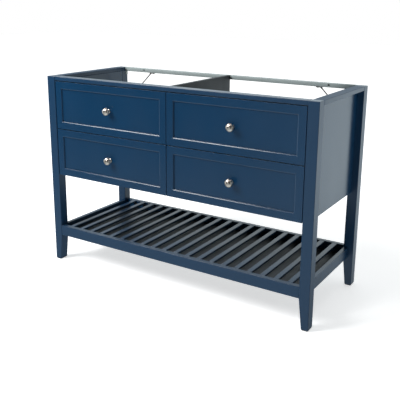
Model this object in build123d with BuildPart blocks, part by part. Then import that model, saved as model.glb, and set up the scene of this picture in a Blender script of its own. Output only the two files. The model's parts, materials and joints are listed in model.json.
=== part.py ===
from build123d import *
import math
import os

# Bathroom vanity cabinet for a double basin: four tapered legs, an open case with four inset
# drawers in two rows and two columns, and an open slatted shelf near the floor.
# The back and the top are open, ready for a worktop with basins and for the pipes.
#
# Frame: +Z up, +X to the right for someone facing the drawers, which open towards -Y.
# The origin is on the floor, in the middle of the whole object, knobs included.
# All sizes are in millimetres. A span is a (low, high) pair along one axis.

# Overall
WIDTH = 1200.0  # across the outer faces of the legs
DEPTH = 480.0  # from the front faces of the legs to the back plane
HEIGHT = 810.0  # from the floor to the seat of the worktop
EASE = 1.2  # rounding of the edges of the painted boards

# Legs
LEG = 40.0  # side of the square section
LEG_FOOT = 27.0  # width left at the floor, where the inner face tapers
GLIDE = 3.0  # thickness of the glide under each leg
GLIDE_INSET = 1.5  # from the edge of the leg to the edge of the glide

# Case
CASE_BOTTOM = 393.0  # underside of the case above the floor
TOP_RAIL = 16.0  # thickness of the rails laid flat round the top
TOP_RAIL_DEPTH = 38.5  # front to back of the front top rail
TOP_RAIL_SETBACK = 1.5  # behind the front faces of the legs
PANEL = 17.0  # thickness of the side panels and of the lower side rails
DIVIDER = 16.0  # thickness of the centre divider
INSIDE_GAP = 1.0  # from the drawer fronts to the divider and the front stretcher behind them
STRETCHER = 16.0  # thickness of the front stretcher under the case, laid flat
STRETCHER_WIDTH = 60.0

# Steel rail at the back, a box section with an end plate on each end
STEEL_DEPTH = 16.0
STEEL_HEIGHT = 18.0
STEEL_WALL = 1.5
END_PLATE = 2.0
END_PLATE_HEIGHT = 34.0
WALL_HOLE_SPACING = 900.0  # between the two holes for the wall screws
WALL_HOLE_RADIUS = 4.0

# Corner braces in the back plane, a steel rod with a tab at each end
BRACE_DROP = 147.0  # from the steel rail down to where the rod meets the leg
BRACE_ROD_RADIUS = 2.5
BRACE_TAB = 3.0
BRACE_TAB_WIDTH = 14.0
BRACE_TAB_LENGTH = 26.0
BRACE_TAB_END = 8.0  # from the rod's axis to the near end of its tab
BRACE_SINK = 1.0  # how far the rod's axis runs into its tab

# Screws through the end plates and the tabs
SCREW_RADIUS = 1.75
SCREW_GRIP = 12.0  # shank length past the steel it holds
SCREW_HEAD_RADIUS = 4.0
SCREW_HEAD = 2.2
SCREW_CLEARANCE = 0.35  # round the shank in a plate or a tab
SCREW_TO_ROD = 11.0  # from the rod's axis to the screw along its tab
PLATE_SCREW_UP = 8.0  # above the lower end of the end plate

# Lower frame and shelf
LOWER_RAIL_BOTTOM = 117.0
LOWER_RAIL_HEIGHT = 44.0
LOWER_RAIL = 20.0  # thickness of the front and back lower rails
LOWER_RAIL_SETBACK = 1.0  # behind the faces of the legs
SHELF_BOARD = 6.0
SLAT_COUNT = 20
SLAT_WIDTH = 20.0
SLAT_THICKNESS = 9.0

# Drawer fronts
FRONT_THICKNESS = 19.0
FRONT_SETBACK = 2.0  # behind the front faces of the legs
FRONT_GAP = 3.0  # round each front
FRAME_BORDER = 28.0  # flat border round the sunk field
FIELD_BEVEL = 7.0  # width of the slope down to the field
FIELD_DEPTH = 5.5

# Drawer boxes
BOX_SIDE = 12.0
BOX_LENGTH = 350.0
BOX_ABOVE_FRONT_EDGE = 30.0  # box underside above the lower edge of its front
BOX_BELOW_FRONT_EDGE = 47.5  # top of the box's sides below the upper edge of its front
BOX_BACK_DROP = 8.0  # the back stops this far below the sides
BOTTOM = 6.0  # thickness of the drawer bottom
BOTTOM_UP = 10.0  # its underside above the lower edge of the sides
GROOVE_DEPTH = 6.0
GROOVE_CLEARANCE = 0.2  # above the bottom in its groove
GROOVE_END_GAP = 0.5  # from the bottom's edge to the end of its groove

# Ball-bearing slides, three nested channels on each side of a drawer
SLIDE_WIDTH = 12.7  # from the case to the drawer box
SLIDE_HEIGHT = 45.0
SLIDE_LENGTH = 350.0
SLIDE_START = 25.0  # behind the front faces of the legs
SLIDE_SHEET = 1.2
SLIDE_BALL = 1.8  # room for the balls between two channels
SLIDE_SIDE_GAP = 1.3  # between the webs of two channels

# Knobs
KNOB_REACH = 30.0  # from the sunk field to the top of the dome
KNOB_RADIUS = 15.5
KNOB_DOME = 11.0  # height of the dome above its rim
KNOB_RIM = 2.0  # height of the rim under the dome
KNOB_NECK_RADIUS = 5.5
KNOB_FOOT_RADIUS = 8.5
KNOB_FOOT = 2.0
KNOB_FLARE = 5.0  # height of the hollow curve between foot and neck
KNOB_SCREW_RADIUS = 2.0
KNOB_SCREW_BITE = 12.0  # how far the screw reaches into the knob
KNOB_SCREW_CLEARANCE = 0.3
KNOB_SCREW_HEAD_RADIUS = 4.5
KNOB_SCREW_HEAD = 2.5

# Planes that follow from the sizes above
KNOB_PROUD = KNOB_REACH - FIELD_DEPTH - FRONT_SETBACK  # knob in front of the legs
FRONT = (KNOB_PROUD - DEPTH) / 2  # front faces of the legs
BACK = FRONT + DEPTH
OUTER = WIDTH / 2  # outer faces of the legs, at plus and minus this
INNER = OUTER - LEG  # inner faces of the legs and of the side panels
FRONT_LEG_BACK = FRONT + LEG
REAR_LEG_FRONT = BACK - LEG
RAIL_UNDERSIDE = HEIGHT - TOP_RAIL
STEEL_FRONT = BACK - STEEL_DEPTH
STEEL_MIDDLE = BACK - STEEL_DEPTH / 2
STEEL_UNDERSIDE = HEIGHT - STEEL_HEIGHT
FRONT_BACK_FACE = FRONT + FRONT_SETBACK + FRONT_THICKNESS
FIELD_FACE = FRONT + FRONT_SETBACK + FIELD_DEPTH
LOWER_RAIL_TOP = LOWER_RAIL_BOTTOM + LOWER_RAIL_HEIGHT
SHELF_FRONT = FRONT + LOWER_RAIL_SETBACK + LOWER_RAIL
SHELF_BACK = BACK - LOWER_RAIL_SETBACK - LOWER_RAIL
BRACE_FOOT_Z = STEEL_UNDERSIDE - BRACE_DROP
BRACE_TOP_X = INNER - BRACE_DROP
PLATE_SCREW_Z = HEIGHT - END_PLATE_HEIGHT + PLATE_SCREW_UP
BRACE_SCREW_X = BRACE_TOP_X - SCREW_TO_ROD
BRACE_SCREW_Z = BRACE_FOOT_Z - SCREW_TO_ROD

SIDES = (("left", -1), ("right", 1))

# Drawer fronts: both rows share the height between the top rail and the case's underside
FRONT_ZONE_TOP = RAIL_UNDERSIDE - FRONT_GAP
FRONT_HEIGHT = (FRONT_ZONE_TOP - CASE_BOTTOM - FRONT_GAP) / 2
BOX_HEIGHT = FRONT_HEIGHT - BOX_ABOVE_FRONT_EDGE - BOX_BELOW_FRONT_EDGE
ROWS = (("lower", CASE_BOTTOM), ("upper", CASE_BOTTOM + FRONT_HEIGHT + FRONT_GAP))
FRONT_NEAR = FRONT_GAP / 2  # front's edge beside the middle of the cabinet
FRONT_FAR = INNER - FRONT_GAP  # front's edge beside the leg
FRONT_MIDDLE = (FRONT_NEAR + FRONT_FAR) / 2
BAY_NEAR = DIVIDER / 2  # walls of a drawer bay
BAY_FAR = INNER
BOX_NEAR = BAY_NEAR + SLIDE_WIDTH  # outer faces of a drawer box
BOX_FAR = BAY_FAR - SLIDE_WIDTH
BOX_BACK = FRONT_BACK_FACE + BOX_LENGTH
SLIDE_BACK = FRONT + SLIDE_START + SLIDE_LENGTH

os.makedirs("parts", exist_ok=True)


def keep(piece, label):
    """Labels a finished piece and writes it."""
    piece.part.label = label
    export_step(piece.part, f"parts/{label}.step")


def at_y(y):
    """The upright plane across the cabinet at this depth. Extruding goes towards the front."""
    return Plane.XZ.offset(-y)


def across(sign, near, far):
    """The span between two distances from the middle of the cabinet, on one side of it."""
    return tuple(sorted((sign * near, sign * far)))


def add_block(x, y, z, mode=Mode.ADD):
    """Adds or cuts a rectangular block in the part that is being built."""
    with BuildSketch(Plane.XY.offset(z[0])) as outline:
        with Locations(((x[0] + x[1]) / 2, (y[0] + y[1]) / 2)):
            Rectangle(x[1] - x[0], y[1] - y[0])
    extrude(outline.sketch, amount=z[1] - z[0], mode=mode)


def add_rod(start, direction, radius, length, mode=Mode.ADD):
    """Adds or cuts a round rod that starts at a point."""
    with BuildSketch(Plane(origin=start, z_dir=direction)) as section:
        Circle(radius)
    extrude(section.sketch, amount=length, mode=mode)


def board(label, x, y, z, ease=EASE):
    """A rectangular board with rounded edges."""
    with BuildPart() as piece:
        add_block(x, y, z)
        if ease:
            fillet(piece.edges(), ease)
    keep(piece, label)


def leg(label, sign, y, drilled):
    """A square leg whose inner face tapers below the lower rails. A rear one is drilled for screws."""
    outer, inner, foot = sign * OUTER, sign * INNER, sign * (OUTER - LEG_FOOT)
    with BuildPart() as piece:
        with BuildSketch(at_y(y[1])):
            with BuildLine():
                Polyline(
                    (outer, GLIDE),
                    (foot, GLIDE),
                    (inner, LOWER_RAIL_BOTTOM),
                    (inner, HEIGHT),
                    (outer, HEIGHT),
                    close=True,
                )
            make_face()
        extrude(amount=y[1] - y[0])
        fillet(piece.edges().filter_by(Axis.Y, reverse=True), EASE)
        if drilled:
            for z in (PLATE_SCREW_Z, BRACE_SCREW_Z):
                seat = (inner, STEEL_MIDDLE, z)
                add_rod(seat, (sign, 0, 0), SCREW_RADIUS, SCREW_GRIP, Mode.SUBTRACT)
    keep(piece, label)


# Legs and glides
for side, sign in SIDES:
    leg(f"front_{side}_leg", sign, (FRONT, FRONT_LEG_BACK), drilled=False)
    leg(f"rear_{side}_leg", sign, (REAR_LEG_FRONT, BACK), drilled=True)

with BuildPart() as foot_glides:
    for side, sign in SIDES:
        glide_x = across(sign, OUTER - GLIDE_INSET, OUTER - LEG_FOOT + GLIDE_INSET)
        for leg_front in (FRONT, REAR_LEG_FRONT):
            glide_y = (leg_front + GLIDE_INSET, leg_front + LEG - GLIDE_INSET)
            add_block(glide_x, glide_y, (0, GLIDE))
keep(foot_glides, "foot_glides")

# Top frame, side panels and the lower frame's side rails
between_legs_x = (-INNER, INNER)
between_legs_y = (FRONT_LEG_BACK, REAR_LEG_FRONT)
top_rail_front = FRONT + TOP_RAIL_SETBACK
top_rail_y = (top_rail_front, top_rail_front + TOP_RAIL_DEPTH)
lower_rail_z = (LOWER_RAIL_BOTTOM, LOWER_RAIL_TOP)
board("top_front_rail", between_legs_x, top_rail_y, (RAIL_UNDERSIDE, HEIGHT))
for side, sign in SIDES:
    panel_x = across(sign, INNER, INNER + PANEL)
    board(f"top_{side}_rail", across(sign, INNER, OUTER), between_legs_y, (RAIL_UNDERSIDE, HEIGHT))
    board(f"{side}_side_panel", panel_x, between_legs_y, (CASE_BOTTOM, RAIL_UNDERSIDE))
    board(f"lower_{side}_rail", panel_x, between_legs_y, lower_rail_z)

# Front and back lower rails, the thin board between them and the slats
board("lower_front_rail", between_legs_x, (SHELF_FRONT - LOWER_RAIL, SHELF_FRONT), lower_rail_z)
board("lower_back_rail", between_legs_x, (SHELF_BACK, SHELF_BACK + LOWER_RAIL), lower_rail_z)
shelf_board_z = (LOWER_RAIL_BOTTOM, LOWER_RAIL_BOTTOM + SHELF_BOARD)
board("shelf_board", between_legs_x, (SHELF_FRONT, SHELF_BACK), shelf_board_z, ease=0)

slat_gap = (2 * INNER - SLAT_COUNT * SLAT_WIDTH) / (SLAT_COUNT + 1)
slat_length = SHELF_BACK - SHELF_FRONT
with BuildPart() as shelf_slats:
    with BuildSketch(Plane.XY.offset(LOWER_RAIL_TOP - SLAT_THICKNESS)):
        with Locations((0, (SHELF_FRONT + SHELF_BACK) / 2)):
            with GridLocations(SLAT_WIDTH + slat_gap, 0, SLAT_COUNT, 1):
                Rectangle(SLAT_WIDTH, slat_length)
    extrude(amount=SLAT_THICKNESS)
    fillet(shelf_slats.edges().filter_by(Axis.Y), EASE)
keep(shelf_slats, "shelf_slats")

# Stretchers under the case, the back one as thick as the steel rail above it is deep, and the
# divider that stands on the front one and meets the back one and the steel rail
stretcher_front = FRONT_BACK_FACE + INSIDE_GAP
stretcher_y = (stretcher_front, stretcher_front + STRETCHER_WIDTH)
stretcher_top = CASE_BOTTOM + STRETCHER
board("bottom_front_stretcher", between_legs_x, stretcher_y, (CASE_BOTTOM, stretcher_top), ease=0)
back_stretcher_z = (CASE_BOTTOM, CASE_BOTTOM + STRETCHER_WIDTH)
board("bottom_back_stretcher", between_legs_x, (STEEL_FRONT, BACK), back_stretcher_z)

with BuildPart() as centre_divider:
    divider_x = (-BAY_NEAR, BAY_NEAR)
    add_block(divider_x, (stretcher_front, STEEL_FRONT), (stretcher_top, HEIGHT))
    rail_notch_y = (stretcher_front, top_rail_y[1])
    add_block(divider_x, rail_notch_y, (RAIL_UNDERSIDE, HEIGHT), Mode.SUBTRACT)
keep(centre_divider, "centre_divider")

# Steel rail across the back
with BuildPart() as rear_top_rail:
    steel_end = INNER - END_PLATE
    with BuildSketch(Plane.YZ.offset(-steel_end)):
        with Locations((STEEL_MIDDLE, HEIGHT - STEEL_HEIGHT / 2)):
            Rectangle(STEEL_DEPTH, STEEL_HEIGHT)
            Rectangle(STEEL_DEPTH - 2 * STEEL_WALL, STEEL_HEIGHT - 2 * STEEL_WALL, mode=Mode.SUBTRACT)
    extrude(amount=2 * steel_end)
    for side, sign in SIDES:
        plate_z = (HEIGHT - END_PLATE_HEIGHT, HEIGHT)
        add_block(across(sign, steel_end, INNER), (STEEL_FRONT, BACK), plate_z)
        plate_seat = (sign * steel_end, STEEL_MIDDLE, PLATE_SCREW_Z)
        hole_radius = SCREW_RADIUS + SCREW_CLEARANCE
        add_rod(plate_seat, (sign, 0, 0), hole_radius, END_PLATE, Mode.SUBTRACT)
        brace_seat = (sign * BRACE_SCREW_X, STEEL_MIDDLE, STEEL_UNDERSIDE)
        add_rod(brace_seat, (0, 0, 1), SCREW_RADIUS, STEEL_WALL, Mode.SUBTRACT)
        wall_hole = (sign * WALL_HOLE_SPACING / 2, BACK, HEIGHT - STEEL_HEIGHT / 2)
        add_rod(wall_hole, (0, -1, 0), WALL_HOLE_RADIUS, STEEL_DEPTH, Mode.SUBTRACT)
keep(rear_top_rail, "rear_top_rail")

# Corner braces: the rod runs at 45 degrees from the tab under the rail to the tab on the leg
tab_y = (STEEL_MIDDLE - BRACE_TAB_WIDTH / 2, STEEL_MIDDLE + BRACE_TAB_WIDTH / 2)
rod_length = math.sqrt(2) * (BRACE_DROP - 2 * BRACE_TAB + 2 * BRACE_SINK)
rod_offset = BRACE_TAB - BRACE_SINK
for side, sign in SIDES:
    with BuildPart() as brace:
        tab_low = BRACE_TOP_X + BRACE_TAB_END - BRACE_TAB_LENGTH
        tab_z = (STEEL_UNDERSIDE - BRACE_TAB, STEEL_UNDERSIDE)
        add_block(across(sign, tab_low, tab_low + BRACE_TAB_LENGTH), tab_y, tab_z)
        foot_top = BRACE_FOOT_Z + BRACE_TAB_END
        foot_z = (foot_top - BRACE_TAB_LENGTH, foot_top)
        add_block(across(sign, INNER - BRACE_TAB, INNER), tab_y, foot_z)
        rod_start = (
            sign * (BRACE_TOP_X + rod_offset),
            STEEL_MIDDLE,
            STEEL_UNDERSIDE - rod_offset,
        )
        add_rod(rod_start, (sign, 0, -1), BRACE_ROD_RADIUS, rod_length)
        hole_radius = SCREW_RADIUS + SCREW_CLEARANCE
        top_hole = (sign * BRACE_SCREW_X, STEEL_MIDDLE, STEEL_UNDERSIDE)
        add_rod(top_hole, (0, 0, -1), hole_radius, BRACE_TAB, Mode.SUBTRACT)
        foot_hole = (sign * INNER, STEEL_MIDDLE, BRACE_SCREW_Z)
        add_rod(foot_hole, (-sign, 0, 0), hole_radius, BRACE_TAB, Mode.SUBTRACT)
    keep(brace, f"{side}_corner_brace")


def add_screw(seat, direction, held):
    """Adds a pan-head screw: its head on the steel, its shank through that steel and past it."""
    back_up = tuple(-component for component in direction)
    add_rod(seat, back_up, SCREW_HEAD_RADIUS, SCREW_HEAD)
    add_rod(seat, direction, SCREW_RADIUS, held + SCREW_GRIP)


with BuildPart() as bracket_screws:
    for side, sign in SIDES:
        into_leg = (sign, 0, 0)
        add_screw((sign * (INNER - END_PLATE), STEEL_MIDDLE, PLATE_SCREW_Z), into_leg, END_PLATE)
        add_screw((sign * (INNER - BRACE_TAB), STEEL_MIDDLE, BRACE_SCREW_Z), into_leg, BRACE_TAB)
        under_tab = (sign * BRACE_SCREW_X, STEEL_MIDDLE, STEEL_UNDERSIDE - BRACE_TAB)
        add_screw(under_tab, (0, 0, 1), BRACE_TAB)
keep(bracket_screws, "bracket_screws")


# Slides. Each channel is nested in the one before it, the widest on the case.
outer_half = SLIDE_HEIGHT / 2
middle_half = outer_half - SLIDE_SHEET - SLIDE_BALL
inner_half = middle_half - SLIDE_SHEET - SLIDE_BALL
middle_web = SLIDE_SHEET + SLIDE_SIDE_GAP
inner_lip = middle_web + SLIDE_SHEET + SLIDE_SIDE_GAP
outer_lip = SLIDE_WIDTH - SLIDE_SHEET - 2 * SLIDE_SIDE_GAP
middle_lip = SLIDE_WIDTH - SLIDE_SHEET - SLIDE_SIDE_GAP


def add_channels(sign, box_low, half, case_edge, box_edge, web_on_case):
    """Adds one channel on each side of a drawer: its edges are distances from the case wall."""
    height = box_low + BOX_HEIGHT - inner_half
    for wall, inward in ((BAY_NEAR, 1), (BAY_FAR, -1)):
        hollow_shift = SLIDE_SHEET / 2 if web_on_case else -SLIDE_SHEET / 2
        middle = (case_edge + box_edge) / 2
        with BuildSketch(at_y(SLIDE_BACK)) as section:
            with Locations((sign * (wall + inward * middle), height)):
                Rectangle(box_edge - case_edge, 2 * half)
            with Locations((sign * (wall + inward * (middle + hollow_shift)), height)):
                hollow_height = 2 * (half - SLIDE_SHEET)
                Rectangle(box_edge - case_edge - SLIDE_SHEET, hollow_height, mode=Mode.SUBTRACT)
        extrude(section.sketch, amount=SLIDE_LENGTH)


with BuildPart() as slide_outer_members:
    for side, sign in SIDES:
        for row, front_low in ROWS:
            box_low = front_low + BOX_ABOVE_FRONT_EDGE
            add_channels(sign, box_low, outer_half, 0, outer_lip, web_on_case=True)
keep(slide_outer_members, "slide_outer_members")


# Drawers
def drawer_front(name, sign, low):
    """A front with a flat border, a slope and a sunk field, grooved behind for the bottom."""
    middle = (sign * FRONT_MIDDLE, low + FRONT_HEIGHT / 2)
    width = FRONT_FAR - FRONT_NEAR
    face = at_y(FRONT + FRONT_SETBACK)
    with BuildPart() as front:
        with BuildSketch(at_y(FRONT_BACK_FACE)):
            with Locations(middle):
                Rectangle(width, FRONT_HEIGHT)
        extrude(amount=FRONT_THICKNESS)
        fillet(front.edges(), EASE)
        with BuildSketch(face):
            with Locations(middle):
                Rectangle(width - 2 * FRAME_BORDER, FRONT_HEIGHT - 2 * FRAME_BORDER)
        with BuildSketch(face.offset(-FIELD_DEPTH)):
            with Locations(middle):
                inset = 2 * (FRAME_BORDER + FIELD_BEVEL)
                Rectangle(width - inset, FRONT_HEIGHT - inset)
        loft(mode=Mode.SUBTRACT)
        groove_low = low + BOX_ABOVE_FRONT_EDGE + BOTTOM_UP
        groove_x = across(sign, BOX_NEAR + BOX_SIDE - GROOVE_DEPTH, BOX_FAR - BOX_SIDE + GROOVE_DEPTH)
        groove_y = (FRONT_BACK_FACE - GROOVE_DEPTH, FRONT_BACK_FACE)
        groove_z = (groove_low, groove_low + BOTTOM + GROOVE_CLEARANCE)
        add_block(groove_x, groove_y, groove_z, Mode.SUBTRACT)
        screw_hole = (middle[0], FRONT_BACK_FACE, middle[1])
        hole_radius = KNOB_SCREW_RADIUS + KNOB_SCREW_CLEARANCE
        add_rod(screw_hole, (0, -1, 0), hole_radius, FRONT_THICKNESS, Mode.SUBTRACT)
    keep(front, f"{name}_front")


def drawer_box(name, sign, low):
    """Two grooved sides, a back between them and a bottom that slides in under the back."""
    box_y = (FRONT_BACK_FACE, BOX_BACK)
    groove_z = (low + BOTTOM_UP, low + BOTTOM_UP + BOTTOM + GROOVE_CLEARANCE)
    walls = sorted((sign * BOX_NEAR, sign * BOX_FAR))
    for side, wall, inward in (("left", walls[0], 1), ("right", walls[1], -1)):
        with BuildPart() as box_side:
            side_x = tuple(sorted((wall, wall + inward * BOX_SIDE)))
            add_block(side_x, box_y, (low, low + BOX_HEIGHT))
            groove_edges = (wall + inward * (BOX_SIDE - GROOVE_DEPTH), wall + inward * BOX_SIDE)
            add_block(tuple(sorted(groove_edges)), box_y, groove_z, Mode.SUBTRACT)
        keep(box_side, f"{name}_{side}_side")
    inside_x = (walls[0] + BOX_SIDE, walls[1] - BOX_SIDE)
    back_z = (low + BOTTOM_UP + BOTTOM, low + BOX_HEIGHT - BOX_BACK_DROP)
    board(f"{name}_back", inside_x, (BOX_BACK - BOX_SIDE, BOX_BACK), back_z, ease=0)
    reach = GROOVE_DEPTH - GROOVE_END_GAP
    bottom_x = (inside_x[0] - reach, inside_x[1] + reach)
    bottom_z = (low + BOTTOM_UP, low + BOTTOM_UP + BOTTOM)
    board(f"{name}_bottom", bottom_x, (FRONT_BACK_FACE - reach, BOX_BACK), bottom_z, ease=0)


def knob(name, sign, height):
    """A turned mushroom knob on the sunk field, with a blind hole for its screw."""
    base = (sign * FRONT_MIDDLE, FIELD_FACE, height)
    rim = KNOB_REACH - KNOB_DOME
    under_rim = rim - KNOB_RIM
    flare_top = KNOB_FOOT + KNOB_FLARE
    flare_middle = (
        KNOB_FOOT_RADIUS - (KNOB_FOOT_RADIUS - KNOB_NECK_RADIUS) * math.sin(math.pi / 4),
        flare_top - KNOB_FLARE * math.sin(math.pi / 4),
    )
    dome_middle = (KNOB_RADIUS * math.sin(math.pi / 4), rim + KNOB_DOME * math.sin(math.pi / 4))
    with BuildPart() as piece:
        with BuildSketch(Plane(origin=base, x_dir=(1, 0, 0), z_dir=(0, 0, -1))):
            with BuildLine():
                Polyline((0, KNOB_REACH), (0, 0), (KNOB_FOOT_RADIUS, 0), (KNOB_FOOT_RADIUS, KNOB_FOOT))
                Spline((KNOB_FOOT_RADIUS, KNOB_FOOT), flare_middle, (KNOB_NECK_RADIUS, flare_top))
                Polyline(
                    (KNOB_NECK_RADIUS, flare_top),
                    (KNOB_NECK_RADIUS, under_rim - KNOB_RIM),
                    (KNOB_RADIUS, under_rim),
                    (KNOB_RADIUS, rim),
                )
                Spline(
                    (KNOB_RADIUS, rim),
                    dome_middle,
                    (0, KNOB_REACH),
                    tangents=((0, 1), (-1, 0)),
                )
            make_face()
        revolve(axis=Axis(base, (0, -1, 0)))
        add_rod(base, (0, -1, 0), KNOB_SCREW_RADIUS, KNOB_SCREW_BITE, Mode.SUBTRACT)
    keep(piece, f"{name}_knob")


def knob_screw(name, sign, height):
    """The machine screw that holds a knob, its head on the back of the drawer front."""
    seat = (sign * FRONT_MIDDLE, FRONT_BACK_FACE, height)
    shank = FRONT_BACK_FACE - FIELD_FACE + KNOB_SCREW_BITE
    with BuildPart() as screw:
        add_rod(seat, (0, 1, 0), KNOB_SCREW_HEAD_RADIUS, KNOB_SCREW_HEAD)
        add_rod(seat, (0, -1, 0), KNOB_SCREW_RADIUS, shank)
    keep(screw, f"{name}_knob_screw")


for side, sign in SIDES:
    for row, front_low in ROWS:
        name = f"{row}_{side}_drawer"
        knob_height = front_low + FRONT_HEIGHT / 2
        box_low = front_low + BOX_ABOVE_FRONT_EDGE
        drawer_front(name, sign, front_low)
        drawer_box(name, sign, box_low)
        knob(name, sign, knob_height)
        knob_screw(name, sign, knob_height)
        with BuildPart() as slide_middles:
            add_channels(sign, box_low, middle_half, middle_web, middle_lip, web_on_case=True)
        keep(slide_middles, f"{name}_slide_middles")
        with BuildPart() as slide_inners:
            add_channels(sign, box_low, inner_half, inner_lip, SLIDE_WIDTH, web_on_case=False)
        keep(slide_inners, f"{name}_slide_inners")
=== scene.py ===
import json
import math
import random

import bmesh
import bpy
from mathutils import Matrix, Vector

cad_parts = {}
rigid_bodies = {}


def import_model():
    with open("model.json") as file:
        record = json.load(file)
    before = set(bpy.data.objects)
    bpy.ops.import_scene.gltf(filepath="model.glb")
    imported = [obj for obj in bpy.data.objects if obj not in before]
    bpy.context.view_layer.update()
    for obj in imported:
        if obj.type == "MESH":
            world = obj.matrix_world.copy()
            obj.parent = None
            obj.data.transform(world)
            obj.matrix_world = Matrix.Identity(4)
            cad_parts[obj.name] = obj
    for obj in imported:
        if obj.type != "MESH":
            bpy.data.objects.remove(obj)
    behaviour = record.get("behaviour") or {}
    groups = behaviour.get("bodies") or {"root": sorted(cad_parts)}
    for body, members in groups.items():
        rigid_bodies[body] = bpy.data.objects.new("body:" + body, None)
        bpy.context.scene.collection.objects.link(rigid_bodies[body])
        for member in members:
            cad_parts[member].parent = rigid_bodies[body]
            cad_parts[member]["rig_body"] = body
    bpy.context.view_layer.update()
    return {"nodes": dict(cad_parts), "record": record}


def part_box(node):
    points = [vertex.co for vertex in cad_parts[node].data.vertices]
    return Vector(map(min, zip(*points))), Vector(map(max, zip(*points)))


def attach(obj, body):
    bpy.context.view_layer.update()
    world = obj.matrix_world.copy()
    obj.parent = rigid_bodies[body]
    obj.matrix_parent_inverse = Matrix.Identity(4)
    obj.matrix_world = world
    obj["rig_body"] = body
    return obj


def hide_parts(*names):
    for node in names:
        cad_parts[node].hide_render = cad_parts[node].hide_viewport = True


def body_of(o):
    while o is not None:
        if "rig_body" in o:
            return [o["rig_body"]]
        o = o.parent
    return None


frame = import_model()

bl_info = {
    "name": "Bathroom Vanity Cabinet",
    "version": (1, 0, 0),
    "blender": (4, 5, 0),
    "location": "View3D > Sidebar > Vanity",
    "description": "Builds a lacquered double vanity base with drawers and a slatted shelf",
    "category": "Add Mesh",
}

# Everything is in metres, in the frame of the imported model: +Z up, the drawers open towards -Y.
# Each piece takes its size and place from the node that it stands for.

RECORD = frame["record"]
WALL_FIXING = next(mount for mount in RECORD["mounts"] if mount["name"] == "wall_fixing")
MM = 0.001

X, Y, Z = 0, 1, 2
SIDES = (("left", -1), ("right", 1))
DRAWERS = tuple(f"{row}_{side}_drawer" for side, _ in SIDES for row in ("lower", "upper"))

MERGE_DISTANCE = 1e-6
NEAR = 0.00002  # places less than this apart count as the same
SHARP_TURN = math.radians(25)  # edges that turn more than this are rounded
SMOOTH_TURN = math.radians(40)  # unrounded edges that turn less than this are shaded smooth
FOLD_TURN = math.radians(2)  # edges that turn more than this are creased
FLAT_WALL = 0.9999  # a normal with a larger value than this belongs to a flat wall
ALIGNED = 0.99  # directions with a larger cosine than this count as the same
ON_EDGE = 0.5  # a normal with less than this along a board's thickness is on its narrow side

GRAIN_UV = "grain"
GRAIN_SEED = 417
GRAIN_SPREAD = 5  # each board takes its grain from a random place within this distance
# The two plywood finishes are dark, partly as painted shade that keeps the gaps between the drawer
# fronts dark.
PLYWOOD = ("dark_veneer", "dark_ply_edge")
PLATE_ROUNDING, BRACE_ROUNDING = 0.0006, 0.0005
CURVE_STEPS, DOME_STEPS, SPIN_STEPS = 6, 14, 56  # of a turned knob
TO_WALL, TO_BOX = 1, -1  # the two ways that the web of a slide's channel can lie
SENSOR_WIDTH = 36  # millimetres

# ----------------------------------------------------------------------------------------------
# Settings
# ----------------------------------------------------------------------------------------------


def length_setting(name, description, default):
    """A setting for a size."""
    return bpy.props.FloatProperty(
        name=name, description=description, subtype="DISTANCE", default=default
    )


def share_setting(name, description, default):
    """A setting between nothing and all."""
    return bpy.props.FloatProperty(
        name=name, description=description, subtype="FACTOR", min=0, max=1, default=default
    )


def angle_setting(name, description, default):
    """A setting for an angle."""
    return bpy.props.FloatProperty(
        name=name, description=description, subtype="ANGLE", default=default
    )


def power_setting(name, description, default):
    """A setting for a lamp's power."""
    return bpy.props.FloatProperty(
        name=name, description=description, subtype="POWER", min=0, default=default
    )


def level_setting(name, description, default):
    """A setting for a brightness."""
    return bpy.props.FloatProperty(name=name, description=description, min=0, default=default)


def colour_setting(name, description, default):
    """A setting for a colour."""
    return bpy.props.FloatVectorProperty(
        name=name,
        description=description,
        subtype="COLOR",
        size=3,
        min=0,
        max=1,
        default=default,
    )


class VanityFinishSettings(bpy.types.PropertyGroup):
    """Colours and surface qualities of the finishes."""

    lacquer_colour: colour_setting(
        "Lacquer",
        "Colour of the satin lacquer on the outside of the cabinet",
        (0.0030, 0.0275, 0.0690),
    )
    lacquer_roughness: share_setting(
        "Lacquer Roughness", "Roughness of the satin lacquer", 0.20
    )
    dark_board_colour: colour_setting(
        "Dark Board", "Colour of the slate-grey boards inside the case", (0.022, 0.026, 0.032)
    )
    # The dark plywood colour is partly painted shade: it keeps the gaps between the drawer fronts
    # dark.
    ply_colour: colour_setting(
        "Dark Ply",
        "Colour of the dark-stained plywood of the drawer boxes",
        (0.085, 0.078, 0.072),
    )
    nickel_colour: colour_setting("Satin Nickel", "Colour of the knobs", (0.66, 0.585, 0.52))
    rail_colour: colour_setting(
        "Rear Rail",
        "Colour of the light grey powder coat on the steel rail",
        (0.32, 0.375, 0.375),
    )
    brace_colour: colour_setting("Braces", "Colour of the corner braces", (0.17, 0.16, 0.155))


class VanityJoinerySettings(bpy.types.PropertyGroup):
    """Sizes of the wooden pieces that their outer boxes don't give."""

    rounding: length_setting(
        "Edge Rounding", "Radius of the edges of the lacquered boards", 0.0018
    )
    fine_rounding: length_setting(
        "Fine Rounding", "Radius of the edges of thin or unpainted boards", 0.0005
    )
    glide_inset: length_setting(
        "Glide Inset", "From the edge of a leg's foot to the edge of its glide", 0.0015
    )
    slat_count: bpy.props.IntProperty(
        name="Slats", description="Number of slats in the shelf", min=2, default=20
    )
    slat_width: length_setting("Slat Width", "Width of one slat", 0.020)
    slat_rounding: length_setting("Slat Rounding", "Radius of the edges of the slats", 0.0020)
    front_rounding: length_setting(
        "Front Rounding", "Radius of the outer edges of the drawer fronts", 0.0004
    )
    border: length_setting("Front Border", "Width of the flat border of a drawer front", 0.028)
    slope: length_setting("Front Slope", "Width of the slope inside the border", 0.0024)
    slope_angle: angle_setting(
        "Slope Angle", "How far the slope falls away from the front's face", math.radians(30)
    )
    step: length_setting(
        "Front Step", "Width of the steep step between the slope and the field", 0.0010
    )
    groove: length_setting("Groove", "Depth of the groove for a drawer bottom", 0.006)


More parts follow.
